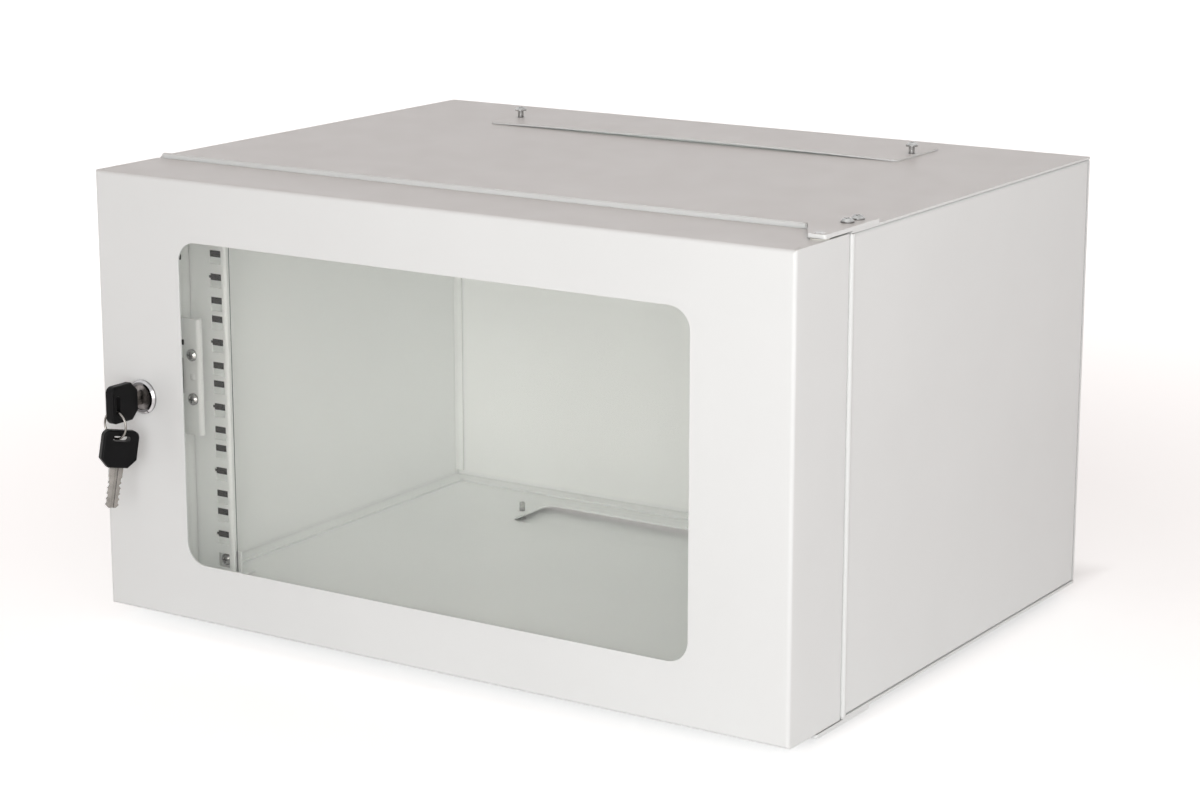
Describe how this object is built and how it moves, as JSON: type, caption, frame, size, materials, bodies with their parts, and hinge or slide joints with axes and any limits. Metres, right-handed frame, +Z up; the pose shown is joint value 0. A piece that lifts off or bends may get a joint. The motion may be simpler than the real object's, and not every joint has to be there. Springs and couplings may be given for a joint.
{
  "type": "wall mount network cabinet",
  "caption": "Shallow wall-mounted 19-inch rack cabinet: folded sheet-metal body, square-hole rails, cable entry covers and a key-locked glass door.",
  "frame": {"origin": "midway between the centres of the two wall keyholes, on the rear face that meets the wall", "axes": "+X to the right as seen from the front, +Y into the wall, +Z up; the door faces -Y"},
  "size_m": [0.514, 0.4304, 0.3082],
  "materials": {
    "body_paint": "semi-gloss light grey powder coat",
    "door_paint": "semi-gloss light grey powder coat",
    "safety_glass": "clear toughened glass",
    "foam_tape": "black foam tape",
    "lock_chrome": "polished chrome plate",
    "plug_steel": "dark satin steel",
    "zinc_steel": "zinc-plated steel",
    "key_steel": "nickel-plated key blank",
    "bow_plastic": "black moulded plastic with a fine grain",
    "bush_plastic": "natural nylon"
  },
  "bodies": {
    "cabinet": {"right_side_panel": "body_paint", "left_side_panel": "body_paint", "rear_panel": "body_paint", "top_panel": "body_paint", "bottom_panel": "body_paint", "right_rail": "body_paint", "left_rail": "body_paint", "rail_tabs": "body_paint", "rail_screws": "zinc_steel", "rail_nuts": "zinc_steel", "top_cover_screws": "zinc_steel", "bottom_cover_screws": "zinc_steel", "top_hinge_bracket": "body_paint", "bottom_hinge_bracket": "body_paint", "top_hinge_screws": "zinc_steel", "bottom_hinge_screws": "zinc_steel", "top_hinge_pin": "zinc_steel", "bottom_hinge_pin": "zinc_steel", "strike_bracket": "body_paint", "strike_screws": "zinc_steel", "lock_catch": "zinc_steel"},
    "door": {"door_frame": "door_paint", "door_glass": "safety_glass", "glass_tape": "foam_tape", "lock_body": "lock_chrome", "lock_nut": "zinc_steel", "top_hinge_bush": "bush_plastic", "bottom_hinge_bush": "bush_plastic"},
    "lock_cylinder": {"lock_plug": "plug_steel", "lock_cam": "zinc_steel", "cam_screw": "zinc_steel"},
    "key": {"key_blade": "key_steel", "key_bow": "bow_plastic"},
    "ring": {"key_ring": "key_steel"},
    "spare_key": {"spare_key_blade": "key_steel", "spare_key_bow": "bow_plastic"},
    "top_cover": {"top_cable_cover": "body_paint"},
    "bottom_cover": {"bottom_cable_cover": "body_paint"}
  },
  "joints": [
    {"name": "door_hinge", "type": "hinge", "parent": "cabinet", "child": "door", "pos_m": [0.2507, -0.354, -0.1043], "axis": [0, 0, 1], "range_deg": [0, 140]},
    {"name": "lock_turn", "type": "hinge", "parent": "door", "child": "lock_cylinder", "pos_m": [-0.2226, -0.392, -0.1043], "axis": [0, 1, 0], "range_deg": [0, 90]},
    {"name": "key_pull", "type": "slide", "parent": "lock_cylinder", "child": "key", "axis": [0, -1, 0], "range_m": [0, 0.028]},
    {"name": "ring_swing", "type": "hinge", "parent": "key", "child": "ring", "pos_m": [-0.2226, -0.41915, -0.1087], "axis": [1, 0, 0], "range_deg": [-60, 8]},
    {"name": "spare_key_swing", "type": "hinge", "parent": "ring", "child": "spare_key", "pos_m": [-0.2226, -0.41915, -0.1265], "axis": [1, 0, 0], "range_deg": [-20, 10]},
    {"name": "top_cover_lift", "type": "slide", "parent": "cabinet", "child": "top_cover", "axis": [0, 0, 1], "range_m": [0, 0.0045]},
    {"name": "bottom_cover_lift", "type": "slide", "parent": "cabinet", "child": "bottom_cover", "axis": [0, 0, 1], "range_m": [0, 0.0045]}
  ]
}
